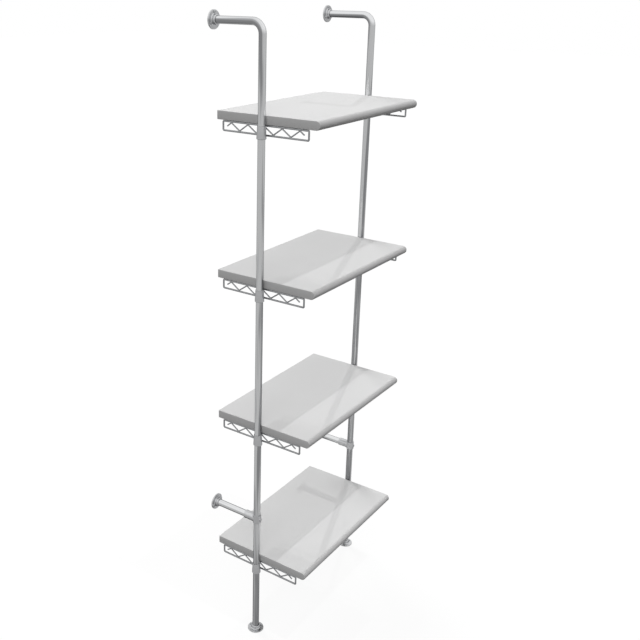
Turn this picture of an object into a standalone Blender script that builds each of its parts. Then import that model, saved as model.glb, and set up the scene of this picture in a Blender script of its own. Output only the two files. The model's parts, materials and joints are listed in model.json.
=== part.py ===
"""Wall-fixed post shelving: bent chrome tube posts, bullnose boards and welded wire brackets.

Units are metres and +Z is up. The boards run along X, the wall is at +Y and the front edge at -Y.
The origin is on the floor, at the middle of the overall footprint.
"""

import math

import bmesh
import bpy
from mathutils import Matrix, Vector

# Tube posts, from the floor up and back to the wall
TUBE_DIAMETER = 0.0254
TUBE_WALL = 0.0015
STANDOFF = 0.196
TOP_ARM_HEIGHT = 2.311
BEND_RADIUS = 0.038
STAY_HEIGHT = 0.510

# Boards
SHELF_COUNT = 4
LOWEST_SHELF_TOP = 0.341
SHELF_PITCH = 0.560
BOARD_LENGTH = 0.670
BOARD_THICKNESS = 0.030
POST_TO_NOSE = 0.212
BOARD_TO_WALL = 0.002
BOARD_TO_POST = 0.0023

# Wire brackets and the tapered collars that carry them
WIRE_DIAMETER = 0.0064
ZIGZAG_DIAMETER = 0.0048
TRUSS_LENGTH = 0.340
TRUSS_HEIGHT = 0.0375
TRUSS_CORNER_INSIDE = 0.0006
ZIGZAG_WAVES = 5
ZIGZAG_BEND_RADIUS = 0.004
WELD_DEPTH = 0.0012
COLLAR_OVER_RAIL = 0.0007
COLLAR_UNDER_RAIL = 0.0095
COLLAR_WALL = 0.0015
SLEEVE_OVERHANG = 0.001
SLEEVE_TOP_WALL = 0.0007
SLEEVE_BOTTOM_WALL = 0.0018
SLEEVE_SLIT = 0.002
SLEEVE_CHAMFER = 0.001
TAB_LENGTH = 0.020
TAB_WIDTH = 0.018
TAB_THICKNESS = 0.002

# Flanges on the wall and the floor
FLANGE_DIAMETER = 0.062
FLANGE_THICKNESS = 0.005
FLANGE_CHAMFER = 0.0015
FLANGE_FLOOR = 0.003
HUB_WALL = 0.004
HUB_HEIGHT = 0.018
FLANGE_SCREWS = 3
SCREW_CIRCLE = 0.048

# Tee fittings that hold the lower stay arms
TEE_WALL = 0.0028
TEE_HEIGHT = 0.033
TEE_BRANCH = 0.052
TEE_SOCKET_START = 0.022
TEE_BOSS_DIAMETER = 0.012
TEE_BOSS_PROUD = 0.003
SET_SCREW_DIAMETER = 0.006
SET_SCREW_PROUD = 0.001
SET_SCREW_KEY = 0.003
SET_SCREW_KEY_DEPTH = 0.002

# Pan head screws, also used to hold the boards
SCREW_DIAMETER = 0.004
SCREW_HEAD_DIAMETER = 0.008
SCREW_HEAD_CROWN = 0.005
SCREW_HEAD_HEIGHT = 0.0024
SCREW_HEAD_RIM = 0.0012
BOARD_SCREW_BITE = 0.012

# Clearance between pieces that touch or fit
FIT_GAP = 0.0003

# Facets
ROUND_SIDES = 20
TAPER_SIDES = 16
SCREW_SIDES = 8
KEY_SIDES = 6
TUBE_BEVEL_RESOLUTION = 6
WIRE_BEVEL_RESOLUTION = 1
POST_BEND_STEPS = 10
TRUSS_CORNER_STEPS = 3
ZIGZAG_BEND_STEPS = 1
NOSE_STEPS = 10
MERGE_DISTANCE = 0.00001
CUT_OVERRUN = 0.002
SMOOTH_ANGLE = math.radians(35)

# Places worked out from the sizes above
overall_depth = STANDOFF + POST_TO_NOSE
wall_y = overall_depth / 2
post_y = wall_y - STANDOFF
tube_radius = TUBE_DIAMETER / 2
post_x = BOARD_LENGTH / 2 + BOARD_TO_POST + tube_radius
socket_radius = tube_radius + FIT_GAP
wire_radius = WIRE_DIAMETER / 2
screw_hole_radius = SCREW_DIAMETER / 2 + FIT_GAP
truss_top = -BOARD_THICKNESS - FIT_GAP
rail_top = truss_top - wire_radius
rail_bottom = truss_top - TRUSS_HEIGHT + wire_radius
collar_top = rail_top + COLLAR_OVER_RAIL
collar_bottom = rail_bottom - COLLAR_UNDER_RAIL
sleeve_top = collar_top + SLEEVE_OVERHANG
sleeve_bottom = collar_bottom - SLEEVE_OVERHANG

SIDES = {"left": -1, "right": 1}

for old_object in list(bpy.data.objects):
    bpy.data.objects.remove(old_object, do_unlink=True)

parts = bpy.data.collections.new("chrome_post_shelving")
workshop = bpy.data.collections.new("cutters")
bpy.context.scene.collection.children.link(parts)
bpy.context.scene.collection.children.link(workshop)


def make_material(name, colour, roughness, metallic):
    """A plain Principled material."""
    material = bpy.data.materials.new(name)
    material.use_nodes = True
    shader = material.node_tree.nodes["Principled BSDF"]
    shader.inputs["Base Color"].default_value = (*colour, 1.0)
    shader.inputs["Roughness"].default_value = roughness
    shader.inputs["Metallic"].default_value = metallic
    return material


chrome = make_material("chrome_plate", (0.55, 0.55, 0.56), 0.12, 1.0)
laminate = make_material("pale_laminate", (0.66, 0.66, 0.66), 0.40, 0.0)
sleeve_plastic = make_material("sleeve_plastic", (0.55, 0.55, 0.56), 0.45, 0.0)
zinc = make_material("zinc_plated_screw", (0.60, 0.60, 0.60), 0.30, 1.0)


def bake(working_object):
    """Takes the evaluated mesh of an object, welds it and removes the object."""
    workshop.objects.link(working_object)
    depsgraph = bpy.context.evaluated_depsgraph_get()
    mesh = bpy.data.meshes.new_from_object(working_object.evaluated_get(depsgraph), depsgraph=depsgraph)
    bpy.data.objects.remove(working_object, do_unlink=True)
    welded = bmesh.new()
    welded.from_mesh(mesh)
    bmesh.ops.remove_doubles(welded, verts=welded.verts, dist=MERGE_DISTANCE)
    welded.to_mesh(mesh)
    welded.free()
    return mesh


def combine(mesh, tool_mesh, operation):
    """The Boolean of two meshes, as a new mesh."""
    tool = bpy.data.objects.new("tool", tool_mesh)
    tool.hide_render = True
    tool.display_type = "WIRE"
    workshop.objects.link(tool)
    body = bpy.data.objects.new("body", mesh)
    modifier = body.modifiers.new("combine", "BOOLEAN")
    modifier.operation = operation
    modifier.object = tool
    result = bake(body)
    bpy.data.objects.remove(tool, do_unlink=True)
    return result


def cylinder(radius, start, end, sides=ROUND_SIDES):
    """A closed cylinder from one point to another."""
    axis = end - start
    turn = axis.to_track_quat("Z", "Y").to_matrix().to_4x4()
    mesh = bpy.data.meshes.new("cylinder")
    solid = bmesh.new()
    bmesh.ops.create_cone(
        solid,
        cap_ends=True,
        segments=sides,
        radius1=radius,
        radius2=radius,
        depth=axis.length,
        matrix=Matrix.Translation((start + end) / 2) @ turn,
    )
    solid.to_mesh(mesh)
    solid.free()
    return mesh


def box(low, high):
    """A closed box between two corners."""
    size = high - low
    mesh = bpy.data.meshes.new("box")
    solid = bmesh.new()
    bmesh.ops.create_cube(solid, matrix=Matrix.Translation((low + high) / 2) @ Matrix.Diagonal((*size, 1.0)))
    solid.to_mesh(mesh)
    solid.free()
    return mesh


def turned(profile, sides, closed):
    """Spins a profile of (radius, height) points, given down its outer side, about Z."""
    mesh = bpy.data.meshes.new("profile")
    points = [(radius, 0.0, height) for radius, height in profile]
    edges = [(i, i + 1) for i in range(len(points) - 1)]
    if closed:
        edges.append((len(points) - 1, 0))
    mesh.from_pydata(points, edges, [])
    spun = bpy.data.objects.new("profile", mesh)
    screw = spun.modifiers.new("spin", "SCREW")
    screw.steps = sides
    screw.render_steps = sides
    screw.use_merge_vertices = True
    screw.merge_threshold = MERGE_DISTANCE
    return bake(spun)


def rounded_path(corners, radius, steps, closed):
    """The points of a path through corners, each corner turned with an arc of the given radius."""
    count = len(corners)
    path = []
    for index, corner in enumerate(corners):
        if not closed and index in (0, count - 1):
            path.append(corner)
            continue
        back = (corners[index - 1] - corner).normalized()
        ahead = (corners[(index + 1) % count] - corner).normalized()
        half_angle = back.angle(ahead) / 2
        to_centre = (back + ahead).normalized()
        centre = corner + to_centre * radius / math.sin(half_angle)
        start = corner + back * radius / math.tan(half_angle) - centre
        sweep = math.pi - 2 * half_angle
        axis = back.cross(ahead)
        for step in range(steps + 1):
            path.append(centre + Matrix.Rotation(-sweep * step / steps, 3, axis) @ start)
    return path


def swept(path, diameter, bevel_resolution, closed, capped):
    """A round wire or tube surface along a path."""
    curve = bpy.data.curves.new("path", "CURVE")
    curve.dimensions = "3D"
    curve.bevel_depth = diameter / 2
    curve.bevel_resolution = bevel_resolution
    curve.use_fill_caps = capped
    spline = curve.splines.new("POLY")
    spline.points.add(len(path) - 1)
    for point, place in zip(spline.points, path):
        point.co = (*place, 1.0)
    spline.use_cyclic_u = closed
    return bake(bpy.data.objects.new("path", curve))


def tube(path):
    """A hollow tube, open at both ends."""
    skin = bpy.data.objects.new("tube", swept(path, TUBE_DIAMETER, TUBE_BEVEL_RESOLUTION, False, False))
    wall = skin.modifiers.new("wall", "SOLIDIFY")
    wall.thickness = TUBE_WALL
    wall.offset = -1.0
    wall.use_even_offset = True
    return bake(skin)


def post_mesh():
    """A post from its floor flange up, round the bend and back to its wall flange."""
    seat = FLANGE_FLOOR + FIT_GAP
    corners = [
        Vector((0.0, 0.0, seat)),
        Vector((0.0, 0.0, TOP_ARM_HEIGHT)),
        Vector((0.0, STANDOFF - seat, TOP_ARM_HEIGHT)),
    ]
    return tube(rounded_path(corners, BEND_RADIUS, POST_BEND_STEPS, False))


def stay_mesh():
    """The straight arm between a tee and its wall flange, from the post's axis."""
    start = Vector((0.0, TEE_SOCKET_START + FIT_GAP, 0.0))
    end = Vector((0.0, STANDOFF - FLANGE_FLOOR - FIT_GAP, 0.0))
    return tube([start, end])


def screw_places():
    """The screws' places on a flange, about its axis."""
    for index in range(FLANGE_SCREWS):
        angle = math.pi / 2 + 2 * math.pi * index / FLANGE_SCREWS
        yield SCREW_CIRCLE / 2 * Vector((math.cos(angle), math.sin(angle), 0.0))


def flange_mesh():
    """A round flange with a blind socket hub along +Z and plain screw holes."""
    rim = FLANGE_DIAMETER / 2
    hub = socket_radius + HUB_WALL
    profile = [
        (0.0, FLANGE_FLOOR),
        (socket_radius, FLANGE_FLOOR),
        (socket_radius, HUB_HEIGHT),
        (hub - FLANGE_CHAMFER, HUB_HEIGHT),
        (hub, HUB_HEIGHT - FLANGE_CHAMFER),
        (hub, FLANGE_THICKNESS),
        (rim - FLANGE_CHAMFER, FLANGE_THICKNESS),
        (rim, FLANGE_THICKNESS - FLANGE_CHAMFER),
        (rim, 0.0),
        (0.0, 0.0),
    ]
    mesh = turned(profile, ROUND_SIDES, False)
    overrun = Vector((0.0, 0.0, CUT_OVERRUN))
    top = Vector((0.0, 0.0, FLANGE_THICKNESS))
    for place in screw_places():
        hole = cylinder(screw_hole_radius, place - overrun, place + top + overrun, SCREW_SIDES)
        mesh = combine(mesh, hole, "DIFFERENCE")
    return mesh


def screw_mesh(shank):
    """A pan head screw with its head's underside at the origin and its shank down -Z."""
    head = SCREW_HEAD_DIAMETER / 2
    profile = [
        (0.0, SCREW_HEAD_HEIGHT),
        (SCREW_HEAD_CROWN / 2, SCREW_HEAD_HEIGHT),
        (head, SCREW_HEAD_RIM),
        (head, 0.0),
        (SCREW_DIAMETER / 2, 0.0),
        (SCREW_DIAMETER / 2, -shank),
        (0.0, -shank),
    ]
    return turned(profile, SCREW_SIDES, False)


def tee_mesh():
    """The tee round a post, with its socket branch towards the wall and its set screw boss to the front."""
    radius = socket_radius + TEE_WALL
    up = Vector((0.0, 0.0, TEE_HEIGHT / 2))
    branch_end = Vector((0.0, TEE_BRANCH, 0.0))
    boss_end = Vector((0.0, -radius - TEE_BOSS_PROUD, 0.0))
    overrun = Vector((0.0, 0.0, CUT_OVERRUN))
    mesh = cylinder(radius, -up, up)
    mesh = combine(mesh, cylinder(radius, Vector(), branch_end), "UNION")
    mesh = combine(mesh, cylinder(TEE_BOSS_DIAMETER / 2, Vector(), boss_end), "UNION")
    mesh = combine(mesh, cylinder(socket_radius, -up - overrun, up + overrun), "DIFFERENCE")
    socket_start = Vector((0.0, TEE_SOCKET_START, 0.0))
    socket_end = branch_end + Vector((0.0, CUT_OVERRUN, 0.0))
    mesh = combine(mesh, cylinder(socket_radius, socket_start, socket_end), "DIFFERENCE")
    hole_radius = SET_SCREW_DIAMETER / 2 + FIT_GAP
    hole_end = boss_end - Vector((0.0, CUT_OVERRUN, 0.0))
    hole = cylinder(hole_radius, Vector(), hole_end, SCREW_SIDES)
    return combine(mesh, hole, "DIFFERENCE")


def set_screw_mesh():
    """The hexagon socket screw in a tee's boss, its point just off the post."""
    tip = Vector((0.0, -socket_radius, 0.0))
    end = tip - Vector((0.0, TEE_WALL + TEE_BOSS_PROUD + SET_SCREW_PROUD, 0.0))
    key_floor = end + Vector((0.0, SET_SCREW_KEY_DEPTH, 0.0))
    key_end = end - Vector((0.0, CUT_OVERRUN, 0.0))
    mesh = cylinder(SET_SCREW_DIAMETER / 2, tip, end, SCREW_SIDES)
    return combine(mesh, cylinder(SET_SCREW_KEY / 2, key_floor, key_end, KEY_SIDES), "DIFFERENCE")


def sleeve_radius(height):
    """The outer radius of a tapered sleeve at a height from the board's top."""
    share = (sleeve_top - height) / (sleeve_top - sleeve_bottom)
    return socket_radius + SLEEVE_TOP_WALL + share * (SLEEVE_BOTTOM_WALL - SLEEVE_TOP_WALL)


def sleeve_mesh():
    """A split sleeve that wedges between a post and a collar, slit on its outboard side."""
    chamfer_top = sleeve_bottom + SLEEVE_CHAMFER
    profile = [
        (sleeve_radius(sleeve_top), sleeve_top),
        (sleeve_radius(chamfer_top), chamfer_top),
        (sleeve_radius(sleeve_bottom) - SLEEVE_CHAMFER, sleeve_bottom),
        (socket_radius, sleeve_bottom),
        (socket_radius, sleeve_top),
    ]
    ring = turned(profile, TAPER_SIDES, True)
    reach = sleeve_radius(sleeve_bottom) + CUT_OVERRUN
    low = Vector((-reach, -SLEEVE_SLIT / 2, sleeve_bottom - CUT_OVERRUN))
    high = Vector((0.0, SLEEVE_SLIT / 2, sleeve_top + CUT_OVERRUN))
    return combine(ring, box(low, high), "DIFFERENCE")


def collar_radius(height):
    """The inner radius of a collar at a height from the board's top."""
    return sleeve_radius(height) + FIT_GAP


truss_offset = collar_radius(rail_bottom) + COLLAR_WALL + wire_radius - WELD_DEPTH
tab_hole = truss_offset + TAB_LENGTH / 2


def collar_mesh():
    """The tapered collar that drops over a sleeve, from the upper rail to below the lower one."""
    profile = [
        (collar_radius(collar_top) + COLLAR_WALL, collar_top),
        (collar_radius(collar_bottom) + COLLAR_WALL, collar_bottom),
        (collar_radius(collar_bottom), collar_bottom),
        (collar_radius(collar_top), collar_top),
    ]
    return turned(profile, TAPER_SIDES, True)


def truss_loop_mesh():
    """The closed rectangle of wire under a board's end."""
    reach = TRUSS_LENGTH / 2
    corners = [
        Vector((truss_offset, reach, rail_bottom)),
        Vector((truss_offset, -reach, rail_bottom)),
        Vector((truss_offset, -reach, rail_top)),
        Vector((truss_offset, reach, rail_top)),
    ]
    path = rounded_path(corners, wire_radius + TRUSS_CORNER_INSIDE, TRUSS_CORNER_STEPS, True)
    return swept(path, WIRE_DIAMETER, WIRE_BEVEL_RESOLUTION, True, False)


def zigzag_mesh():
    """The bent wire inside the rectangle, whose ends stop at mid height."""
    half_wave = TRUSS_LENGTH / ZIGZAG_WAVES / 2
    # A bevelled curve has 4 + 2 * resolution sides, and flats above and below.
    flat = math.cos(math.pi / (4 + 2 * WIRE_BEVEL_RESOLUTION))
    inset = wire_radius + (wire_radius + ZIGZAG_DIAMETER / 2) * flat - WELD_DEPTH
    half_angle = math.atan2(half_wave, TRUSS_HEIGHT - 2 * inset)
    # The bend cuts across each corner, so the corner stands this far beyond the wire's crest.
    corner_rise = ZIGZAG_BEND_RADIUS * math.cos(half_angle) ** 2 / math.sin(half_angle)
    top = truss_top - inset + corner_rise
    bottom = truss_top - TRUSS_HEIGHT + inset - corner_rise
    reach = ZIGZAG_WAVES - 1
    middle = (top + bottom) / 2
    corners = [Vector((truss_offset, -(reach + 0.5) * half_wave, middle))]
    for index in range(-reach, reach + 1):
        height = top if (index - reach) % 2 == 0 else bottom
        corners.append(Vector((truss_offset, index * half_wave, height)))
    corners.append(Vector((truss_offset, (reach + 0.5) * half_wave, middle)))
    path = rounded_path(corners, ZIGZAG_BEND_RADIUS, ZIGZAG_BEND_STEPS, False)
    return swept(path, ZIGZAG_DIAMETER, WIRE_BEVEL_RESOLUTION, False, True)


def bracket_mesh():
    """A welded bracket about its post's axis, its truss on the +X side."""
    mesh = combine(truss_loop_mesh(), zigzag_mesh(), "UNION")
    mesh = combine(mesh, collar_mesh(), "UNION")
    low = Vector((truss_offset, -TAB_WIDTH / 2, truss_top - TAB_THICKNESS))
    high = Vector((truss_offset + TAB_LENGTH, TAB_WIDTH / 2, truss_top))
    mesh = combine(mesh, box(low, high), "UNION")
    overrun = Vector((0.0, 0.0, CUT_OVERRUN))
    above = Vector((tab_hole, 0.0, truss_top)) + overrun
    below = above - 2 * overrun - Vector((0.0, 0.0, TAB_THICKNESS))
    return combine(mesh, cylinder(screw_hole_radius, below, above, SCREW_SIDES), "DIFFERENCE")


def board_mesh():
    """A board with a full bullnose front, its top at height 0 and the posts' line at y 0."""
    nose_radius = BOARD_THICKNESS / 2
    back = STANDOFF - BOARD_TO_WALL
    outline = [(back, 0.0)]
    for step in range(NOSE_STEPS + 1):
        angle = math.pi * step / NOSE_STEPS
        y = -POST_TO_NOSE + nose_radius - nose_radius * math.sin(angle)
        outline.append((y, -nose_radius + nose_radius * math.cos(angle)))
    outline.append((back, -BOARD_THICKNESS))
    curve = bpy.data.curves.new("outline", "CURVE")
    curve.dimensions = "2D"
    curve.fill_mode = "BOTH"
    curve.extrude = BOARD_LENGTH / 2
    spline = curve.splines.new("POLY")
    spline.points.add(len(outline) - 1)
    for point, place in zip(spline.points, outline):
        point.co = (*place, 0.0, 1.0)
    spline.use_cyclic_u = True
    mesh = bake(bpy.data.objects.new("outline", curve))
    along_x = Matrix.Rotation(math.pi / 2, 4, "Z") @ Matrix.Rotation(math.pi / 2, 4, "X")
    mesh.transform(along_x)
    for side in SIDES.values():
        x = side * (post_x - tab_hole)
        start = Vector((x, 0.0, -BOARD_THICKNESS - CUT_OVERRUN))
        end = Vector((x, 0.0, -BOARD_THICKNESS + BOARD_SCREW_BITE + FIT_GAP))
        mesh = combine(mesh, cylinder(screw_hole_radius, start, end, SCREW_SIDES), "DIFFERENCE")
    return mesh


def place(name, mesh, material, parent, location=(0.0, 0.0, 0.0), turn=(0.0, 0.0, 0.0)):
    """Adds one named piece under its parent."""
    piece = bpy.data.objects.new(name, mesh)
    if not mesh.materials:
        mesh.materials.append(material)
        mesh.shade_smooth()
        mesh.set_sharp_from_angle(angle=SMOOTH_ANGLE)
    piece.parent = parent
    piece.location = location
    piece.rotation_euler = turn
    parts.objects.link(piece)


def add_empty(name, location):
    """An empty that carries pieces and marks where they move from."""
    empty = bpy.data.objects.new(name, None)
    empty.location = location
    parts.objects.link(empty)
    return empty


def place_flange(name, parent, location, turn):
    """A flange and its screws, turned together about the flange's back."""
    seat = add_empty(name + "_seat", location)
    seat.parent = parent
    seat.rotation_euler = turn
    place(name, flange, chrome, seat)
    lift = Vector((0.0, 0.0, FLANGE_THICKNESS + FIT_GAP))
    for number, spot in enumerate(screw_places(), 1):
        place(f"{name}_screw_{number}", flange_screw, zinc, seat, spot + lift)


flange = flange_mesh()
flange_screw = screw_mesh(FLANGE_THICKNESS)
board_screw = screw_mesh(TAB_THICKNESS + 2 * FIT_GAP + BOARD_SCREW_BITE)
post = post_mesh()
stay = stay_mesh()
tee = tee_mesh()
set_screw = set_screw_mesh()
sleeve = sleeve_mesh()
bracket = bracket_mesh()
board = board_mesh()

FACING_FRONT = (math.pi / 2, 0.0, 0.0)
FACING_DOWN = (math.pi, 0.0, 0.0)

frame = add_empty("frame", (0.0, post_y, 0.0))
for side_name, side in SIDES.items():
    x = side * post_x
    stay_place = (x, 0.0, STAY_HEIGHT)
    place(f"{side_name}_post", post, chrome, frame, (x, 0.0, 0.0))
    place(f"{side_name}_tee", tee, chrome, frame, stay_place)
    place(f"{side_name}_tee_set_screw", set_screw, zinc, frame, stay_place)
    place(f"{side_name}_stay_arm", stay, chrome, frame, stay_place)
    place_flange(f"{side_name}_floor_flange", frame, (x, 0.0, 0.0), (0.0, 0.0, 0.0))
    place_flange(f"upper_{side_name}_wall_flange", frame, (x, STANDOFF, TOP_ARM_HEIGHT), FACING_FRONT)
    place_flange(f"lower_{side_name}_wall_flange", frame, (x, STANDOFF, STAY_HEIGHT), FACING_FRONT)

for number in range(1, SHELF_COUNT + 1):
    shelf_top = LOWEST_SHELF_TOP + (SHELF_COUNT - number) * SHELF_PITCH
    lift = add_empty(f"shelf_{number}", (0.0, post_y, shelf_top))
    place(f"shelf_{number}_board", board, laminate, lift)
    for side_name, side in SIDES.items():
        inward = (0.0, 0.0, 0.0) if side < 0 else (0.0, 0.0, math.pi)
        name = f"shelf_{number}_{side_name}"
        place(f"{name}_bracket", bracket, chrome, lift, (side * post_x, 0.0, 0.0), inward)
        head_height = truss_top - TAB_THICKNESS - FIT_GAP
        screw_x = side * (post_x - tab_hole)
        place(f"{name}_board_screw", board_screw, zinc, lift, (screw_x, 0.0, head_height), FACING_DOWN)
        place(f"{name}_sleeve", sleeve, sleeve_plastic, frame, (side * post_x, 0.0, shelf_top), inward)
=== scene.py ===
"""Looks of a wall-fixed post shelving unit: chrome tube, cast fittings, wire brackets and boards.

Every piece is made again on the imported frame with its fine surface, and each finish has its own
material. Units are metres and +Z is up. The boards run along X, the wall is at +Y and the front
edges are at -Y.
"""

import json
import math

import bmesh
import bpy
from mathutils import Matrix, Vector


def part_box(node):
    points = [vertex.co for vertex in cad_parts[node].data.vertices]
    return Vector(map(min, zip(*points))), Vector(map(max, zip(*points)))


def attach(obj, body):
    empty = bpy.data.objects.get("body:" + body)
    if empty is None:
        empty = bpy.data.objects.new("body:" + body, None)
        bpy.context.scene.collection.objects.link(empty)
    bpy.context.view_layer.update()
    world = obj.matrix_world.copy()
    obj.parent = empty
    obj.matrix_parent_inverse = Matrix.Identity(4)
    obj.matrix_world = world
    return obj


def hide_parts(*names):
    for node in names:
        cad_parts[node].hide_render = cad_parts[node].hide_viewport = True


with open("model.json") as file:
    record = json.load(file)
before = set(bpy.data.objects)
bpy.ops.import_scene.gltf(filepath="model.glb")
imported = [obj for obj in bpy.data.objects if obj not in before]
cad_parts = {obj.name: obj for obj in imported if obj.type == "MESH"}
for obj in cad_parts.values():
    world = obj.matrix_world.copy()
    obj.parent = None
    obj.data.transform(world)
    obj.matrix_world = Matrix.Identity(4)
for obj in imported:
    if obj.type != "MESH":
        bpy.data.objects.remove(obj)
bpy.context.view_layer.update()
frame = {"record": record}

MM = 0.001

# Tube of the posts and stay arms
TUBE_DIAMETER = 25.4 * MM
TUBE_WALL = 1.5 * MM
BEND_RADIUS = 38 * MM
# Where along a drawn tube the stay arms were cut from it, so that their painted reflection bands differ
# from the posts'
STAY_CUT_FROM = 1300 * MM

# Flanges, with a blind socket for the tube
FLANGE_DIAMETER = 62 * MM
FLANGE_THICKNESS = 5 * MM
FLANGE_FLOOR = 3 * MM
FLANGE_EDGE = 1.5 * MM
HUB_HEIGHT = 18 * MM
HUB_WALL = 4 * MM
HUB_EDGE = 3 * MM
HUB_FILLET = 4 * MM
RIM_EASING = 0.5 * MM

# Tees, cast with a soft fillet where the branch leaves the ring
TEE_WALL = 2.8 * MM
TEE_SOCKET_START = 22 * MM
TEE_BOSS_DIAMETER = 12 * MM
TEE_SKIN_GRAIN = 0.6 * MM
TEE_FILLET_PASSES = 8
TEE_FILLET_PULL = 0.5
SET_SCREW_DIAMETER = 6 * MM
SET_SCREW_EDGE = 0.4 * MM
SET_SCREW_KEY = 3 * MM
SET_SCREW_KEY_DEPTH = 2 * MM
SET_SCREW_KEY_SIDES = 6

# Pan head screws
SCREW_DIAMETER = 4 * MM
SCREW_HEAD_DIAMETER = 8 * MM
SCREW_HEAD_HEIGHT = 2.4 * MM
SCREW_CROWN = 5.4 * MM
SCREW_CROWN_ROUNDING = 2 * MM
SCREW_RIM = 1.2 * MM
SCREW_RIM_ROUNDING = 0.7 * MM
SCREW_UNDERSIDE_ROUNDING = 0.2 * MM
RECESS_SPAN = 4.4 * MM
RECESS_SLOT = 0.9 * MM
RECESS_DEPTH = 1.4 * MM
SCREWS_PER_FLANGE = 3

# Wire brackets, with heights taken from the top of the board
WIRE_DIAMETER = 6.4 * MM
ZIGZAG_DIAMETER = 4.8 * MM
TRUSS_LENGTH = 340 * MM
TRUSS_HEIGHT = 37.5 * MM
TRUSS_CORNER_INSIDE = 0.6 * MM
ZIGZAG_WAVES = 5
ZIGZAG_BEND = 4 * MM
WELD_DEPTH = 1.2 * MM
WELD_BEAD = 2.9 * MM
WELD_STRETCH = 1.6
WELD_FLATNESS = 0.8
COLLAR_OVER_RAIL = 0.7 * MM
COLLAR_UNDER_RAIL = 9.5 * MM
COLLAR_WALL = 1.5 * MM
COLLAR_TOP_WALL = 0.5 * MM
COLLAR_TOP_EASING = 0.2 * MM
COLLAR_FOOT_ROUNDING = 1 * MM
COLLAR_FOOT_EASING = 0.3 * MM
TAB_LENGTH = 20 * MM
TAB_WIDTH = 18 * MM
TAB_THICKNESS = 2 * MM
TAB_CORNER = 4 * MM

# Split sleeves between posts and collars
SLEEVE_OVERHANG = 1 * MM
SLEEVE_TOP_WALL = 0.7 * MM
SLEEVE_BOTTOM_WALL = 1.8 * MM
SLEEVE_SLIT = 2 * MM
SLEEVE_EASING = 0.2 * MM
SLEEVE_CHAMFER = 0.6 * MM

# Boards
SHELF_COUNT = 4
BOARD_EASING = 1.2 * MM
BOARD_EASING_STEPS = 4
BOARD_EASED_ABOVE = math.radians(40)

# Clearance between pieces that fit
FIT_GAP = 0.3 * MM

# Fineness of the surfaces
ARC_STEP = math.radians(9)
ROUND_SIDES = 64
WIRE_SIDES = 16
SCREW_SIDES = 32
BEAD_SIDES = 12
BEAD_RINGS = 8
SMOOTH_ANGLE = math.radians(32)
MERGE_DISTANCE = 0.002 * MM
CUT_OVERRUN = 2 * MM

tube_radius = TUBE_DIAMETER / 2
socket_radius = tube_radius + FIT_GAP
wire_radius = WIRE_DIAMETER / 2
screw_hole_radius = SCREW_DIAMETER / 2 + FIT_GAP

SIDES = {"left": -1, "right": 1}
bodies = frame["record"]["behaviour"]["bodies"]
body_of = {node: body for body, nodes in bodies.items() for node in nodes}
slot_of = {part["node"]: part["material_slot"] for part in frame["record"]["subparts"]}


# Meshes

def settle(working):
    """The evaluated mesh of a working object, welded; the object is removed."""
    bpy.context.scene.collection.objects.link(working)
    depsgraph = bpy.context.evaluated_depsgraph_get()
    mesh = bpy.data.meshes.new_from_object(working.evaluated_get(depsgraph), depsgraph=depsgraph)
    bpy.data.objects.remove(working, do_unlink=True)
    welded = bmesh.new()
    welded.from_mesh(mesh)
    bmesh.ops.remove_doubles(welded, verts=welded.verts, dist=MERGE_DISTANCE)
    welded.to_mesh(mesh)
    welded.free()
    return mesh


def to_mesh(solid, name):
    """A mesh from a bmesh, with its faces turned outwards."""
    bmesh.ops.remove_doubles(solid, verts=solid.verts, dist=MERGE_DISTANCE)
    bmesh.ops.recalc_face_normals(solid, faces=solid.faces)
    mesh = bpy.data.meshes.new(name)
    solid.to_mesh(mesh)
    solid.free()
    return mesh


def combine(mesh, tool_mesh, operation):
    """The Boolean of two closed meshes."""
    tool = bpy.data.objects.new("tool", tool_mesh)
    bpy.context.scene.collection.objects.link(tool)
    body = bpy.data.objects.new("body", mesh)
    modifier = body.modifiers.new("combine", "BOOLEAN")
    modifier.operation = operation
    modifier.object = tool
    result = settle(body)
    bpy.data.objects.remove(tool, do_unlink=True)
    return result


def rounded(corners, closed=False):
    """A path through (point, radius) corners; a radius above 0 turns its corner with an arc."""
    points = []
    for index, (corner, radius) in enumerate(corners):
        at_end = not closed and index in (0, len(corners) - 1)
        if at_end or radius == 0:
            points.append(corner)
            continue
        back = (corners[index - 1][0] - corner).normalized()
        ahead = (corners[(index + 1) % len(corners)][0] - corner).normalized()
        half_angle = back.angle(ahead) / 2
        centre = corner + (back + ahead).normalized() * radius / math.sin(half_angle)
        start = corner + back * radius / math.tan(half_angle) - centre
        sweep = math.pi - 2 * half_angle
        steps = max(2, math.ceil(sweep / ARC_STEP))
        for step in range(steps + 1):
            turn = Matrix.Rotation(-sweep * step / steps, 3, back.cross(ahead))
            points.append(centre + turn @ start)
    return points


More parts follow.
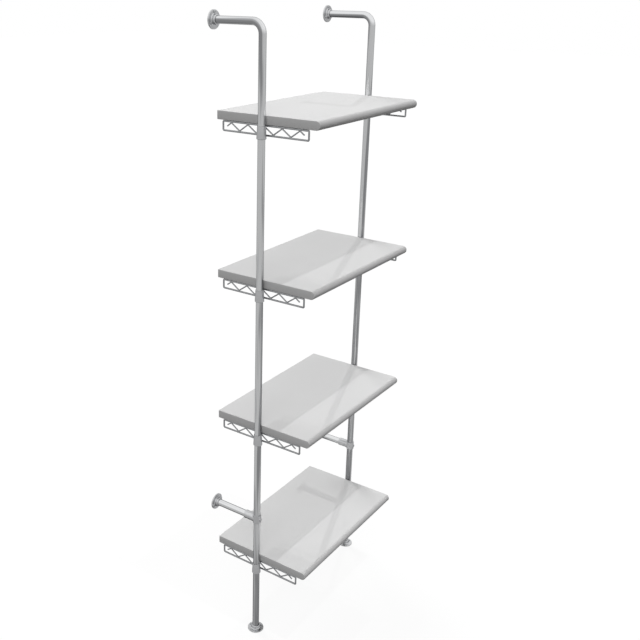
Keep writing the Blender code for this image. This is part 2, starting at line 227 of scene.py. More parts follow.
def swept(path, diameter, sides, closed=False, capped=True, cut_from=0.0):
    """A round bar along a path in the YZ plane.

    Its UV map runs in metres round the bar and along it, from where it was cut.
    """
    bar = bmesh.new()
    wrap = bar.loops.layers.uv.new("wrap")
    count = len(path)
    across = Vector((1.0, 0.0, 0.0))
    rings = []
    lengths = [cut_from]
    for index, point in enumerate(path):
        before = path[index - 1] if closed or index > 0 else point
        after = path[(index + 1) % count] if closed or index < count - 1 else point
        outward = across.cross((after - before).normalized())
        ring = []
        for side in range(sides):
            angle = 2 * math.pi * side / sides
            spoke = math.cos(angle) * across + math.sin(angle) * outward
            ring.append(bar.verts.new(point + diameter / 2 * spoke))
        rings.append(ring)
        lengths.append(lengths[-1] + (path[(index + 1) % count] - point).length)
    girth = math.pi * diameter
    for index in range(count if closed else count - 1):
        here, there = rings[index], rings[(index + 1) % count]
        start, end = lengths[index], lengths[index + 1]
        for side in range(sides):
            following = (side + 1) % sides
            face = bar.faces.new((here[side], here[following], there[following], there[side]))
            low, high = girth * side / sides, girth * (side + 1) / sides
            for loop, spot in zip(face.loops, ((low, start), (high, start), (high, end), (low, end))):
                loop[wrap].uv = spot
    if capped and not closed:
        bar.faces.new(rings[0])
        bar.faces.new(rings[-1])
    return to_mesh(bar, "bar")


def turned(outline, sides=ROUND_SIDES, sweep=2 * math.pi):
    """Spins an outline in the XZ plane about Z; a sweep short of a full turn leaves two flat ends."""
    solid = bmesh.new()
    points = [solid.verts.new(point) for point in outline]
    if sweep == 2 * math.pi:
        shape = points + [solid.edges.new(pair) for pair in zip(points, points[1:])]
        if (outline[0] - outline[-1]).length > MERGE_DISTANCE and outline[0].x > MERGE_DISTANCE:
            shape.append(solid.edges.new((points[-1], points[0])))
    else:
        shape = [solid.faces.new(points)]
    bmesh.ops.spin(solid, geom=shape, axis=(0, 0, 1), cent=(0, 0, 0), angle=sweep, steps=sides)
    return to_mesh(solid, "turned")


def thickened(outline, shift):
    """A flat outline moved along a shift, closed at both ends."""
    solid = bmesh.new()
    end = solid.faces.new([solid.verts.new(point) for point in outline])
    grown = bmesh.ops.extrude_face_region(solid, geom=[end])["geom"]
    moved = [item for item in grown if isinstance(item, bmesh.types.BMVert)]
    bmesh.ops.translate(solid, verts=moved, vec=shift)
    return to_mesh(solid, "plate")


def rod(radius, start, end, sides=ROUND_SIDES):
    """A plain cylinder between two points, for cuts and unions."""
    axis = end - start
    turn = axis.to_track_quat("Z", "Y").to_matrix().to_4x4()
    solid = bmesh.new()
    bmesh.ops.create_cone(solid, cap_ends=True, segments=sides, radius1=radius, radius2=radius,
                          depth=axis.length, matrix=Matrix.Translation((start + end) / 2) @ turn)
    return to_mesh(solid, "rod")


def block(low, high):
    """A plain box between two corners, for cuts and unions."""
    solid = bmesh.new()
    stretch = Matrix.Diagonal((*(high - low), 1.0))
    bmesh.ops.create_cube(solid, matrix=Matrix.Translation((low + high) / 2) @ stretch)
    return to_mesh(solid, "block")


def outline_point(radius, height):
    """A point of a turned outline."""
    return Vector((radius, 0.0, height))


# Tubes

def tube_mesh(path, cut_from=0.0):
    """A hollow tube along a path, open at both ends."""
    bar = swept(path, TUBE_DIAMETER, ROUND_SIDES, capped=False, cut_from=cut_from)
    skin = bpy.data.objects.new("tube", bar)
    wall = skin.modifiers.new("wall", "SOLIDIFY")
    wall.thickness = TUBE_WALL
    wall.offset = -1.0
    return settle(skin)


def post_mesh(low, high):
    """A post from its floor flange up, round the bend and back into its wall flange."""
    x = (low.x + high.x) / 2
    y = low.y + tube_radius
    arm_height = high.z - tube_radius
    corners = [
        (Vector((x, y, low.z)), 0),
        (Vector((x, y, arm_height)), BEND_RADIUS),
        (Vector((x, high.y, arm_height)), 0),
    ]
    return tube_mesh(rounded(corners))


def stay_mesh(low, high):
    """The straight arm from a wall flange to its tee."""
    middle = (low + high) / 2
    path = [Vector((middle.x, high.y, middle.z)), Vector((middle.x, low.y, middle.z))]
    return tube_mesh(path, STAY_CUT_FROM)


# Cast fittings

def flange_mesh():
    """A flange with its hub along +Z and its back at height 0, rounded as cast and polished."""
    rim = FLANGE_DIAMETER / 2
    hub = socket_radius + HUB_WALL
    outline = rounded([
        (outline_point(0.0, FLANGE_FLOOR), 0),
        (outline_point(socket_radius, FLANGE_FLOOR), 0),
        (outline_point(socket_radius, HUB_HEIGHT), RIM_EASING),
        (outline_point(hub, HUB_HEIGHT), HUB_EDGE),
        (outline_point(hub, FLANGE_THICKNESS), HUB_FILLET),
        (outline_point(rim, FLANGE_THICKNESS), FLANGE_EDGE),
        (outline_point(rim, 0.0), RIM_EASING),
        (outline_point(0.0, 0.0), 0),
    ])
    return turned(outline)


def drilled(mesh, spots):
    """A flange with its screw holes, at spots about its own axis."""
    overrun = Vector((0.0, 0.0, CUT_OVERRUN))
    top = Vector((0.0, 0.0, FLANGE_THICKNESS))
    for spot in spots:
        hole = rod(screw_hole_radius, spot - overrun, spot + top + overrun, SCREW_SIDES)
        mesh = combine(mesh, hole, "DIFFERENCE")
    return mesh


def tee_mesh(low, high):
    """A tee about its post's axis, its ring, branch and set screw boss run together in one casting."""
    radius = socket_radius + TEE_WALL
    up = Vector((0.0, 0.0, (high.z - low.z) / 2))
    branch_end = Vector((0.0, high.y - post_y, 0.0))
    boss_end = Vector((0.0, low.y - post_y, 0.0))
    overrun = Vector((0.0, 0.0, CUT_OVERRUN))
    mesh = combine(rod(radius, -up, up), rod(radius, Vector(), branch_end), "UNION")
    mesh = combine(mesh, rod(TEE_BOSS_DIAMETER / 2, Vector(), boss_end), "UNION")
    socket_start = Vector((0.0, TEE_SOCKET_START, 0.0))
    socket_end = branch_end + Vector((0.0, CUT_OVERRUN, 0.0))
    cast = bpy.data.objects.new("casting", mesh)
    skin = cast.modifiers.new("skin", "REMESH")
    skin.mode = "VOXEL"
    skin.voxel_size = TEE_SKIN_GRAIN
    fillet = cast.modifiers.new("fillet", "SMOOTH")
    fillet.factor = TEE_FILLET_PULL
    fillet.iterations = TEE_FILLET_PASSES
    mesh = settle(cast)
    mesh = combine(mesh, rod(socket_radius, -up - overrun, up + overrun), "DIFFERENCE")
    mesh = combine(mesh, rod(socket_radius, socket_start, socket_end), "DIFFERENCE")
    hole_end = boss_end - Vector((0.0, CUT_OVERRUN, 0.0))
    hole = rod(SET_SCREW_DIAMETER / 2 + FIT_GAP, Vector(), hole_end, SCREW_SIDES)
    return combine(mesh, hole, "DIFFERENCE")


# Screws

def screw_mesh(shank):
    """A pan head screw with a cross recess, its head's underside at height 0 and its shank down -Z."""
    head = SCREW_HEAD_DIAMETER / 2
    outline = rounded([
        (outline_point(0.0, SCREW_HEAD_HEIGHT), 0),
        (outline_point(SCREW_CROWN / 2, SCREW_HEAD_HEIGHT), SCREW_CROWN_ROUNDING),
        (outline_point(head, SCREW_RIM), SCREW_RIM_ROUNDING),
        (outline_point(head, 0.0), SCREW_UNDERSIDE_ROUNDING),
        (outline_point(SCREW_DIAMETER / 2, 0.0), 0),
        (outline_point(SCREW_DIAMETER / 2, -shank), 0),
        (outline_point(0.0, -shank), 0),
    ])
    mesh = turned(outline, SCREW_SIDES)
    floor = SCREW_HEAD_HEIGHT - RECESS_DEPTH
    ceiling = SCREW_HEAD_HEIGHT + CUT_OVERRUN
    for long, short in ((RECESS_SPAN / 2, RECESS_SLOT / 2), (RECESS_SLOT / 2, RECESS_SPAN / 2)):
        slot = block(Vector((-long, -short, floor)), Vector((long, short, ceiling)))
        mesh = combine(mesh, slot, "DIFFERENCE")
    return mesh


def set_screw_mesh(length):
    """A hexagon socket screw along -Y, its point at y 0."""
    radius = SET_SCREW_DIAMETER / 2
    outline = rounded([
        (outline_point(0.0, length), 0),
        (outline_point(radius, length), SET_SCREW_EDGE),
        (outline_point(radius, 0.0), SET_SCREW_EDGE),
        (outline_point(0.0, 0.0), 0),
    ])
    mesh = turned(outline, SCREW_SIDES)
    key_floor = Vector((0.0, 0.0, length - SET_SCREW_KEY_DEPTH))
    key_end = Vector((0.0, 0.0, length + CUT_OVERRUN))
    key = rod(SET_SCREW_KEY / 2, key_floor, key_end, SET_SCREW_KEY_SIDES)
    mesh = combine(mesh, key, "DIFFERENCE")
    mesh.transform(Matrix.Rotation(math.pi / 2, 4, "X"))
    return mesh


# Brackets and sleeves, about their post's axis with the board's top at height 0 and the board at +X

def sleeve_radius(height):
    """The outer radius of a tapered sleeve at a height."""
    share = (sleeve_top - height) / (sleeve_top - sleeve_bottom)
    return socket_radius + SLEEVE_TOP_WALL + share * (SLEEVE_BOTTOM_WALL - SLEEVE_TOP_WALL)


def collar_radius(height):
    """The inner radius of a collar at a height."""
    return sleeve_radius(height) + FIT_GAP


def sleeve_mesh():
    """A split sleeve, its slit on the side away from the board."""
    outline = rounded([
        (outline_point(sleeve_radius(sleeve_top), sleeve_top), SLEEVE_EASING),
        (outline_point(sleeve_radius(sleeve_bottom), sleeve_bottom), SLEEVE_CHAMFER),
        (outline_point(socket_radius, sleeve_bottom), SLEEVE_EASING),
        (outline_point(socket_radius, sleeve_top), SLEEVE_EASING),
    ], closed=True)
    slit_angle = SLEEVE_SLIT / sleeve_radius(sleeve_bottom)
    mesh = turned(outline, ROUND_SIDES, 2 * math.pi - slit_angle)
    mesh.transform(Matrix.Rotation(math.pi + slit_angle / 2, 4, "Z"))
    return mesh


def collar_mesh():
    """The tapered collar that drops over a sleeve, across both rails and thinned towards its top."""
    outline = rounded([
        (outline_point(collar_radius(collar_top) + COLLAR_TOP_WALL, collar_top), COLLAR_TOP_EASING),
        (outline_point(collar_radius(collar_bottom) + COLLAR_WALL, collar_bottom), COLLAR_FOOT_ROUNDING),
        (outline_point(collar_radius(collar_bottom), collar_bottom), COLLAR_FOOT_EASING),
        (outline_point(collar_radius(collar_top), collar_top), COLLAR_TOP_EASING),
    ], closed=True)
    return turned(outline)


def truss_loop_mesh():
    """The closed rectangle of wire under a board's end, bent nearly square at its corners."""
    reach = TRUSS_LENGTH / 2
    bend = wire_radius + TRUSS_CORNER_INSIDE
    corners = [
        (Vector((truss_offset, reach, rail_bottom)), bend),
        (Vector((truss_offset, -reach, rail_bottom)), bend),
        (Vector((truss_offset, -reach, rail_top)), bend),
        (Vector((truss_offset, reach, rail_top)), bend),
    ]
    return swept(rounded(corners, closed=True), WIRE_DIAMETER, WIRE_SIDES, closed=True)


def zigzag_crests():
    """The zigzag's corner points, whose bends then rest against the rails."""
    half_wave = TRUSS_LENGTH / ZIGZAG_WAVES / 2
    inset = WIRE_DIAMETER + ZIGZAG_DIAMETER / 2 - WELD_DEPTH
    half_angle = math.atan2(half_wave, TRUSS_HEIGHT - 2 * inset)
    corner_rise = ZIGZAG_BEND * (1 / math.sin(half_angle) - 1)
    high = truss_top - inset + corner_rise
    low = truss_top - TRUSS_HEIGHT + inset - corner_rise
    reach = ZIGZAG_WAVES - 1
    for index in range(-reach, reach + 1):
        yield Vector((truss_offset, index * half_wave, high if (index + reach) % 2 == 0 else low))


def zigzag_mesh():
    """The bent wire inside the rectangle, whose free ends stop at mid height."""
    crests = list(zigzag_crests())
    half_run = (crests[1] - crests[0]) / 2
    first = crests[0] + Vector((0.0, -half_run.y, half_run.z))
    last = crests[-1] + Vector((0.0, half_run.y, half_run.z))
    corners = [(first, 0)] + [(crest, ZIGZAG_BEND) for crest in crests] + [(last, 0)]
    return swept(rounded(corners), ZIGZAG_DIAMETER, WIRE_SIDES)


def weld_bead(place):
    """A small smooth bead of weld, drawn out along the wire."""
    solid = bmesh.new()
    stretch = Matrix.Diagonal((1.0, WELD_STRETCH, WELD_FLATNESS, 1.0))
    bmesh.ops.create_uvsphere(solid, u_segments=BEAD_SIDES, v_segments=BEAD_RINGS, radius=WELD_BEAD,
                              matrix=Matrix.Translation(place) @ stretch)
    return to_mesh(solid, "bead")


def tab_mesh():
    """The small plate that takes the board screw, with rounded outer corners and its hole."""
    start, end = truss_offset, truss_offset + TAB_LENGTH
    half = TAB_WIDTH / 2
    corners = [
        (Vector((start, -half, truss_top)), 0),
        (Vector((end, -half, truss_top)), TAB_CORNER),
        (Vector((end, half, truss_top)), TAB_CORNER),
        (Vector((start, half, truss_top)), 0),
    ]
    mesh = thickened(rounded(corners, closed=True), Vector((0.0, 0.0, -TAB_THICKNESS)))
    overrun = Vector((0.0, 0.0, CUT_OVERRUN))
    above = Vector((tab_hole, 0.0, truss_top)) + overrun
    below = above - 2 * overrun - Vector((0.0, 0.0, TAB_THICKNESS))
    return combine(mesh, rod(screw_hole_radius, below, above, SCREW_SIDES), "DIFFERENCE")


def truss_mesh():
    """A bracket's welded wirework: rectangle, zigzag, tab and the weld beads between them."""
    mesh = combine(truss_loop_mesh(), zigzag_mesh(), "UNION")
    mesh = combine(mesh, tab_mesh(), "UNION")
    mid_height = (rail_top + rail_bottom) / 2
    for crest in zigzag_crests():
        rail = rail_top if crest.z > mid_height else rail_bottom
        inside = rail - math.copysign(wire_radius, rail - mid_height)
        mesh = combine(mesh, weld_bead(Vector((truss_offset, crest.y, inside))), "UNION")
    for rail in (rail_top, rail_bottom):
        at_collar = Vector((truss_offset - wire_radius, 0.0, rail))
        mesh = combine(mesh, weld_bead(at_collar), "UNION")
    return mesh


# Boards

def board_mesh(low, high, screw_boxes):
    """A board with a full bullnose front and eased ends, drilled from below for its two screws."""
    nose = (high.z - low.z) / 2
    centre = Vector((low.x, low.y + nose, high.z - nose))
    outline = [Vector((low.x, high.y, high.z))]
    steps = math.ceil(math.pi / ARC_STEP) * 2
    for step in range(steps + 1):
        angle = math.pi * step / steps
        outline.append(centre + nose * Vector((0.0, -math.sin(angle), math.cos(angle))))
    outline.append(Vector((low.x, high.y, low.z)))
    working = bpy.data.objects.new("board", thickened(outline, Vector((high.x - low.x, 0.0, 0.0))))
    easing = working.modifiers.new("easing", "BEVEL")
    easing.width = BOARD_EASING
    easing.segments = BOARD_EASING_STEPS
    easing.limit_method = "ANGLE"
    easing.angle_limit = BOARD_EASED_ABOVE
    mesh = settle(working)
    for screw_low, screw_high in screw_boxes:
        middle = (screw_low + screw_high) / 2
        start = Vector((middle.x, middle.y, low.z - CUT_OVERRUN))
        end = Vector((middle.x, middle.y, screw_high.z + FIT_GAP))
        mesh = combine(mesh, rod(screw_hole_radius, start, end, SCREW_SIDES), "DIFFERENCE")
    return mesh


# Finishes

# The range that nearly all of a noise lies in
NOISE_LOW = 0.3
NOISE_HIGH = 0.7


def srgb(code):
    """The linear colour of an sRGB hex value."""
    linear = []
    for index in (1, 3, 5):
        share = int(code[index:index + 2], 16) / 255
        linear.append(share / 12.92 if share <= 0.04045 else ((share + 0.055) / 1.055) ** 2.4)
    return (*linear, 1.0)


def feed(tree, node, inputs):
    """Gives each input of a node a value, or the output that feeds it."""
    for key, value in inputs.items():
        if isinstance(value, bpy.types.NodeSocket):
            tree.links.new(value, node.inputs[key])
        else:
            node.inputs[key].default_value = value


def add(tree, kind, inputs=None, **settings):
    """Adds a node with its settings and inputs."""
    node = tree.nodes.new(kind)
    for name, value in settings.items():
        setattr(node, name, value)
    feed(tree, node, inputs or {})
    return node


def maths(tree, operation, first, second=0.0):
    """The result of an operation on one or two values."""
    return add(tree, "ShaderNodeMath", {0: first, 1: second}, operation=operation).outputs[0]


def per_metre(size_mm):
    """The texture scale whose features come out at a size in millimetres."""
    return 1000.0 / size_mm


def noise(tree, place, feature_mm, detail):
    """A noise whose features come out at a size in millimetres."""
    inputs = {"Vector": place, "Scale": per_metre(feature_mm), "Detail": detail}
    return add(tree, "ShaderNodeTexNoise", inputs).outputs["Fac"]


def spread(tree, value, low, high, least=0.0, most=1.0):
    """A value that runs from least to most while another runs from low to high."""
    inputs = {"Value": value, "From Min": low, "From Max": high, "To Min": least, "To Max": most}
    return add(tree, "ShaderNodeMapRange", inputs).outputs[0]


def blend(tree, share, first, second):
    """A colour part way from a first to a second."""
    inputs = {"Factor": share, "A": first, "B": second}
    return add(tree, "ShaderNodeMix", inputs, data_type="RGBA").outputs[2]


def relief(tree, height, strength, depth):
    """The normal of a surface with a fine relief."""
    inputs = {"Height": height, "Strength": strength, "Distance": depth}
    return add(tree, "ShaderNodeBump", inputs).outputs[0]


def place_on_piece(tree):
    """The place on a piece, in metres."""
    return add(tree, "ShaderNodeTexCoord").outputs["Object"]


def new_material(name):
    """An empty material and its shader."""
    material = bpy.data.materials.new(name)
    material.use_nodes = True
    return material, material.node_tree, material.node_tree.nodes["Principled BSDF"]


def chrome_on_drawn_tube():
    """Bright chrome plate over drawn steel tube that was buffed along its length.

    Long bands of lighter and darker grey round the girth are painted into its colour, a painted
    reflection of streaks in the mirror, and the mirror is clearer in some places than others.
    """
    material, tree, shader = new_material("chrome_on_drawn_tube")
    band_width_mm, band_length_mm = 16.0, 600.0
    wrap = add(tree, "ShaderNodeTexCoord").outputs["UV"]
    spot = add(tree, "ShaderNodeSeparateXYZ", {"Vector": wrap}).outputs
    # The girth is bent back into a circle, so that the painted reflection bands meet where the wrap
    # ends.
    angle = maths(tree, "MULTIPLY", spot["X"], 1 / tube_radius)
    across = maths(tree, "COSINE", angle)
    outward = maths(tree, "SINE", angle)
    along = maths(tree, "MULTIPLY", spot["Y"], band_width_mm / band_length_mm / tube_radius)
    rolled = add(tree, "ShaderNodeCombineXYZ", {"X": across, "Y": outward, "Z": along}).outputs[0]
    place = place_on_piece(tree)
    # Tubes that stand apart have painted reflection bands of their own, by a change of the noise for
    # each metre.
    change_per_metre = 8.5
    apart = add(tree, "ShaderNodeSeparateXYZ", {"Vector": place}).outputs["X"]
    buffing_and_painted_reflection = add(tree, "ShaderNodeTexNoise", {
        "Vector": rolled,
        "W": maths(tree, "MULTIPLY", apart, change_per_metre),
        "Scale": per_metre(band_width_mm) * tube_radius,
        "Detail": 2.0,
    }, noise_dimensions="4D").outputs["Fac"]
    # The bands paint lighter and darker streaks of reflection into the metal's colour; the same noise
    # gives a faint relief.
    painted_reflection_share = spread(tree, buffing_and_painted_reflection, low=0.43, high=0.53)
    haze = noise(tree, place, feature_mm=90, detail=3.0)
    feed(tree, shader, {
        "Base Color": blend(tree, painted_reflection_share, srgb("#a0a1a3"), srgb("#e3e4e5")),
        "Metallic": 1.0,
        "Roughness": spread(tree, haze, NOISE_LOW, NOISE_HIGH, least=0.06, most=0.14),
        "Specular Tint": srgb("#a8a8aa"),
        "Normal": relief(tree, buffing_and_painted_reflection, strength=0.05, depth=0.1 * MM),
    })
    return material


def chrome_on_casting():
    """Bright chrome plate over a die cast fitting that was tumbled smooth.

    The plate follows the casting's low waves, so reflections swim a little, and it is duller than
    on the tube.
    """
    material, tree, shader = new_material("chrome_on_casting")
    waves = noise(tree, place_on_piece(tree), feature_mm=14, detail=2.0)
    feed(tree, shader, {
        "Base Color": blend(tree, waves, srgb("#cacbcd"), srgb("#dadbdc")),
        "Metallic": 1.0,
        "Roughness": spread(tree, waves, NOISE_LOW, NOISE_HIGH, least=0.28, most=0.34),
        "Specular Tint": srgb("#b0b0b2"),
        "Normal": relief(tree, waves, strength=0.04, depth=0.2 * MM),
    })
    return material


def chrome_on_wire():
    """Bright chrome plate over drawn and welded steel wire.

    Plate is thin in the bends and over the welds, so the wire is greyer than the tube and less even.
    """
    material, tree, shader = new_material("chrome_on_wire")
    mottle = noise(tree, place_on_piece(tree), feature_mm=14, detail=4.0)
    feed(tree, shader, {
        "Base Color": blend(tree, mottle, srgb("#989a9c"), srgb("#b4b5b7")),
        "Metallic": 1.0,
        "Roughness": spread(tree, mottle, NOISE_LOW, NOISE_HIGH, least=0.18, most=0.32),
    })
    return material


def melamine_laminate():
    """Melamine laminate under a thin clear overlay, pressed and glued over particle board.

    The grey itself is matt and very finely mottled; the overlay gives it a weak, clear shine that
    ripples a little.
    """
    material, tree, shader = new_material("melamine_laminate")
    place = place_on_piece(tree)
    mottle = noise(tree, place, feature_mm=3, detail=4.0)
    clouds = noise(tree, place, feature_mm=160, detail=2.0)
    ripple = noise(tree, place, feature_mm=22, detail=1.0)
    share = spread(tree, maths(tree, "ADD", mottle, clouds), 2 * NOISE_LOW, 2 * NOISE_HIGH)
    feed(tree, shader, {
        "Base Color": blend(tree, share, srgb("#d3d3d3"), srgb("#d5d5d5")),
        "Roughness": spread(tree, clouds, NOISE_LOW, NOISE_HIGH, least=0.34, most=0.42),
        "Specular IOR Level": 0.0,
        "Coat Weight": 0.1,
        "Coat Roughness": 0.12,
        "Coat IOR": 1.5,
        "Normal": relief(tree, ripple, strength=0.02, depth=0.1 * MM),
    })
    return material


def moulded_nylon():
    """Light grey nylon, moulded in a spark-eroded tool.

    The tool leaves a fine matt grain, and the plastic shines softly.
    """
    material, tree, shader = new_material("moulded_nylon")
    grain = noise(tree, place_on_piece(tree), feature_mm=0.6, detail=2.0)
    feed(tree, shader, {
        "Base Color": blend(tree, grain, srgb("#c0c1c3"), srgb("#cbccce")),
        "Roughness": 0.45,
        "IOR": 1.53,
        "Normal": relief(tree, grain, strength=0.2, depth=0.05 * MM),
    })
    return material


def zinc_on_screw():
    """Bright zinc plate on a cold headed steel screw.

    Barrel plating leaves a satin, slightly cloudy silver.
    """
    material, tree, shader = new_material("zinc_on_screw")
    cloud = noise(tree, place_on_piece(tree), feature_mm=1.5, detail=3.0)
    feed(tree, shader, {
        "Base Color": blend(tree, cloud, srgb("#b6b8ba"), srgb("#cdcfd0")),
        "Metallic": 1.0,
        "Roughness": spread(tree, cloud, NOISE_LOW, NOISE_HIGH, least=0.22, most=0.36),
    })
    return material


finishes = {
    "chrome_tube": chrome_on_drawn_tube(),
    "chrome_fitting": chrome_on_casting(),
    "chrome_wire": chrome_on_wire(),
    "pale_laminate": melamine_laminate(),
    "sleeve_plastic": moulded_nylon(),
    "zinc_screw": zinc_on_screw(),
}


# Pieces

def dress(node, mesh, place=Matrix.Identity(4), piece_name=None, slot=None):
    """Puts a fine mesh in place of a CAD node, or of a part of one, on its body and in its finish."""
    slot = slot or slot_of[node]
    if not mesh.materials:
        mesh.materials.append(finishes[slot])
        mesh.shade_smooth()
        mesh.set_sharp_from_angle(angle=SMOOTH_ANGLE)
    piece = bpy.data.objects.new((piece_name or node) + "_fine", mesh)
    bpy.context.scene.collection.objects.link(piece)
    piece.matrix_world = place
    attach(piece, body_of[node])
    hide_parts(node)
    return piece


def seat_of(node):
    """Where a flange's back lies, turned so that its hub points along +Z of that place."""
    low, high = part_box(node)
    middle = (low + high) / 2
    if "wall" in node:
        return Matrix.Translation((middle.x, high.y, middle.z)) @ Matrix.Rotation(math.pi / 2, 4, "X")
    return Matrix.Translation((middle.x, middle.y, low.z))


def screw_spots(node):
    """Where a flange's screws stand, about the flange's own axis."""
    spots = []
    for number in range(1, SCREWS_PER_FLANGE + 1):
        low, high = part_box(f"{node}_screw_{number}")
        spot = seat_of(node).inverted() @ ((low + high) / 2)
        spots.append(Vector((spot.x, spot.y, 0.0)))
    return spots


shelf_numbers = range(1, SHELF_COUNT + 1)
board_top = {number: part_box(f"shelf_{number}_board")[1].z for number in shelf_numbers}
board_thickness = board_top[1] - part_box("shelf_1_board")[0].z
truss_top = -board_thickness - FIT_GAP
rail_top = truss_top - wire_radius
rail_bottom = truss_top - TRUSS_HEIGHT + wire_radius
collar_top = rail_top + COLLAR_OVER_RAIL
collar_bottom = rail_bottom - COLLAR_UNDER_RAIL
sleeve_top = collar_top + SLEEVE_OVERHANG
sleeve_bottom = collar_bottom - SLEEVE_OVERHANG
truss_offset = collar_radius(rail_bottom) + COLLAR_WALL + wire_radius - WELD_DEPTH
tab_hole = truss_offset + TAB_LENGTH / 2

post_low, post_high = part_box("right_post")
post_x = (post_low.x + post_high.x) / 2
post_y = post_low.y + tube_radius

flange = drilled(flange_mesh(), screw_spots("left_floor_flange"))
flange_screw = screw_mesh(FLANGE_THICKNESS)
screw_low, screw_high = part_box("shelf_1_left_board_screw")
board_screw = screw_mesh(screw_high.z - screw_low.z - SCREW_HEAD_HEIGHT)
tee = tee_mesh(*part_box("left_tee"))
set_low, set_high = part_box("left_tee_set_screw")
set_screw = set_screw_mesh(set_high.y - set_low.y)
sleeve = sleeve_mesh()
collar = collar_mesh()
truss = truss_mesh()

facing_down = Matrix.Rotation(math.pi, 4, "X")
on_flange = Vector((0.0, 0.0, FLANGE_THICKNESS + FIT_GAP))

for side_name, side in SIDES.items():
    dress(f"{side_name}_post", post_mesh(*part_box(f"{side_name}_post")))
    dress(f"{side_name}_stay_arm", stay_mesh(*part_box(f"{side_name}_stay_arm")))
    tee_low, tee_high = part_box(f"{side_name}_tee")
    tee_place = Vector((side * post_x, post_y, (tee_low.z + tee_high.z) / 2))
    dress(f"{side_name}_tee", tee, Matrix.Translation(tee_place))
    screw_place = tee_place - Vector((0.0, socket_radius, 0.0))
    dress(f"{side_name}_tee_set_screw", set_screw, Matrix.Translation(screw_place))
    flange_nodes = (
        f"{side_name}_floor_flange",
        f"upper_{side_name}_wall_flange",
        f"lower_{side_name}_wall_flange",
    )
    for node in flange_nodes:
        seat = seat_of(node)
        dress(node, flange, seat)
        for number, spot in enumerate(screw_spots(node), 1):
            dress(f"{node}_screw_{number}", flange_screw, seat @ Matrix.Translation(spot + on_flange))

for number, top in board_top.items():
    screw_boxes = [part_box(f"shelf_{number}_{side_name}_board_screw") for side_name in SIDES]
    dress(f"shelf_{number}_board", board_mesh(*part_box(f"shelf_{number}_board"), screw_boxes))
    for (side_name, side), (low, high) in zip(SIDES.items(), screw_boxes):
        name = f"shelf_{number}_{side_name}"
        inward = Matrix.Rotation(0.0 if side < 0 else math.pi, 4, "Z")
        place = Matrix.Translation((side * post_x, post_y, top)) @ inward
        dress(f"{name}_bracket", truss, place)
        dress(f"{name}_bracket", collar, place, f"{name}_collar", "chrome_fitting")
        dress(f"{name}_sleeve", sleeve, place)
        head = Vector(((low.x + high.x) / 2, (low.y + high.y) / 2, low.z + SCREW_HEAD_HEIGHT))
        dress(f"{name}_board_screw", board_screw, Matrix.Translation(head) @ facing_down)


# Stage, light and camera

FLOOR_REACH = 30.0
FLOOR_DROP = 0.4 * MM
FLOOR_WHITE = 1.03
FLOOR_WHITE_SHARE = 0.85
# How much of the floor's white glow reflections see, a painted sheen from steep to low angles
FLOOR_MIRRORED_BELOW = 0.06
FLOOR_MIRRORED_AFAR = 0.52
FLOOR_PAINTED_SHEEN_FROM = 0.1
FLOOR_PAINTED_SHEEN_FULL = 0.38
SKY_TOP = 0.58
SKY_EDGE = 0.45
SKY_MIRRORED_TOP = 1.0
SKY_MIRRORED_EDGE = 0.25
SKY_MIRRORED_FROM = 0.45

# Each lamp's way of travel, its strength and its width in degrees
LAMPS = {
    "front_light": (Vector((0.0, 0.24, -1.0)), 0.46, 0.4),
    "back_light": (Vector((-0.72, -0.26, -0.64)), 0.48, 0.4),
    "wall_fill": (Vector((-0.30, -0.78, -0.545)), 1.75, 30.0),
    "room_fill": (Vector((0.70, 0.28, -0.66)), 0.54, 30.0),
}

CAMERA_PLACE = Vector((-2.66322, -1.63609, 2.43267))
CAMERA_PAN = 0.935998
CAMERA_TILT = 0.346007
CAMERA_ROLL = 0.006132
PICTURE_WIDTH = 640
FOCAL_PIXELS = 875.44
OPTICAL_CENTRE = (245.65, 295.0)
SENSOR_WIDTH = 36.0


def light_path_white(tree, camera_share, mirrored_share):
    """How white a surface is drawn: one share for the camera, another for reflections and glass."""
    path = add(tree, "ShaderNodeLightPath").outputs
    mirrored = maths(tree, "MAXIMUM", path["Is Glossy Ray"], path["Is Transmission Ray"])
    mirrored = maths(tree, "MULTIPLY", mirrored, mirrored_share)
    seen = maths(tree, "MULTIPLY", path["Is Camera Ray"], camera_share)
    return maths(tree, "MAXIMUM", mirrored, seen)


def pale_floor():
    """A pale studio floor, drawn nearly white, that keeps the unit's shadow.

    It throws little light back up.
    """
    material, tree, shader = new_material("pale_studio_floor")
    scuff = noise(tree, place_on_piece(tree), feature_mm=400, detail=3.0)
    lit = blend(tree, scuff, srgb("#e2e2e2"), srgb("#e8e8e8"))
    seen = add(tree, "ShaderNodeLightPath").outputs["Is Camera Ray"]
    feed(tree, shader, {
        "Base Color": blend(tree, seen, srgb("#404040"), lit),
        "Roughness": 0.9,
        "Specular IOR Level": 0.0,
    })
    white = add(tree, "ShaderNodeEmission", {"Color": srgb("#ffffff"), "Strength": FLOOR_WHITE})
    # A painted sheen: reflections see more of the floor's white glow the lower the eye is, as on a
    # smooth floor.
    low_angle = add(tree, "ShaderNodeLayerWeight", {"Blend": 0.5}).outputs["Facing"]
    painted_sheen = spread(tree, low_angle, FLOOR_PAINTED_SHEEN_FROM, FLOOR_PAINTED_SHEEN_FULL,
                   least=FLOOR_MIRRORED_BELOW, most=FLOOR_MIRRORED_AFAR)
    share = light_path_white(tree, FLOOR_WHITE_SHARE, painted_sheen)
    mixed = add(tree, "ShaderNodeMixShader", {0: share, 1: shader.outputs[0], 2: white.outputs[0]})
    feed(tree, tree.nodes["Material Output"], {"Surface": mixed.outputs[0]})
    return material


sheet = bmesh.new()
bmesh.ops.create_grid(sheet, x_segments=1, y_segments=1, size=FLOOR_REACH)
floor = bpy.data.objects.new("studio_floor", to_mesh(sheet, "studio_floor"))
floor.location = (0.0, 0.0, -FLOOR_DROP)
floor.data.materials.append(pale_floor())
bpy.context.scene.collection.objects.link(floor)

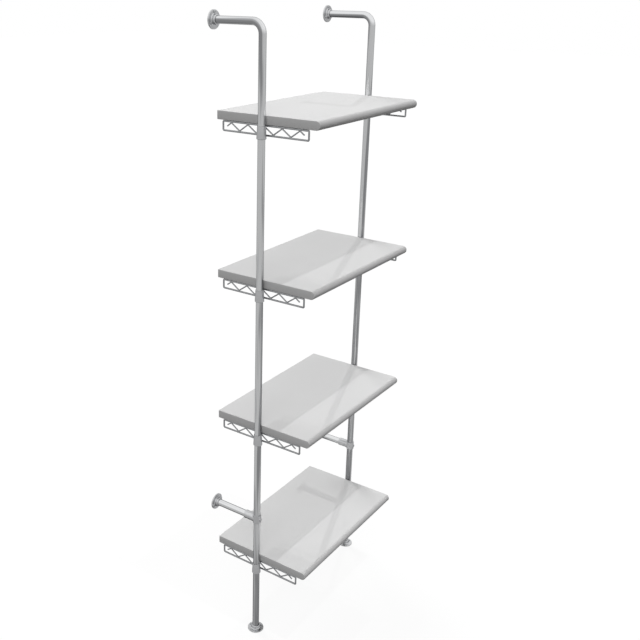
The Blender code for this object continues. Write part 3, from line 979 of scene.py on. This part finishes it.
# The sky is a soft light from all sides. The camera sees it plain white, and reflections see it
# white overhead and greyer towards the horizon.
world = bpy.data.worlds.new("studio")
world.use_nodes = True
bpy.context.scene.world = world
sky = world.node_tree
sky.nodes.clear()
way = add(sky, "ShaderNodeTexCoord").outputs["Generated"]
height = add(sky, "ShaderNodeSeparateXYZ", {"Vector": way}).outputs["Z"]
strength = spread(sky, height, low=0.0, high=1.0, least=SKY_EDGE, most=SKY_TOP)
soft = add(sky, "ShaderNodeBackground", {"Color": srgb("#ffffff"), "Strength": strength})
plain = add(sky, "ShaderNodeBackground", {"Color": srgb("#ffffff"), "Strength": 1.0})
mirrored = spread(sky, height, low=0.0, high=SKY_MIRRORED_FROM,
                  least=SKY_MIRRORED_EDGE, most=SKY_MIRRORED_TOP)
share = light_path_white(sky, 1.0, mirrored)
mixed_sky = add(sky, "ShaderNodeMixShader", {0: share, 1: soft.outputs[0], 2: plain.outputs[0]})
add(sky, "ShaderNodeOutputWorld", {"Surface": mixed_sky.outputs[0]})

for name, (travel, power, width) in LAMPS.items():
    lamp = bpy.data.lights.new(name, "SUN")
    lamp.energy = power
    lamp.angle = math.radians(width)
    light = bpy.data.objects.new(name, lamp)
    light.rotation_euler = travel.to_track_quat("-Z", "Y").to_euler()
    light.visible_glossy = False
    bpy.context.scene.collection.objects.link(light)

lens = bpy.data.cameras.new("photo_camera")
lens.sensor_width = SENSOR_WIDTH
lens.lens = SENSOR_WIDTH * FOCAL_PIXELS / PICTURE_WIDTH
lens.shift_x = (PICTURE_WIDTH / 2 - OPTICAL_CENTRE[0]) / PICTURE_WIDTH
lens.shift_y = (OPTICAL_CENTRE[1] - PICTURE_WIDTH / 2) / PICTURE_WIDTH
camera = bpy.data.objects.new("photo_camera", lens)
aim = Matrix.Rotation(-CAMERA_PAN, 4, "Z") @ Matrix.Rotation(math.pi / 2 - CAMERA_TILT, 4, "X")
camera.matrix_world = Matrix.Translation(CAMERA_PLACE) @ aim @ Matrix.Rotation(CAMERA_ROLL, 4, "Z")
bpy.context.scene.collection.objects.link(camera)
bpy.context.scene.camera = camera

bpy.context.scene.view_settings.view_transform = "Standard"
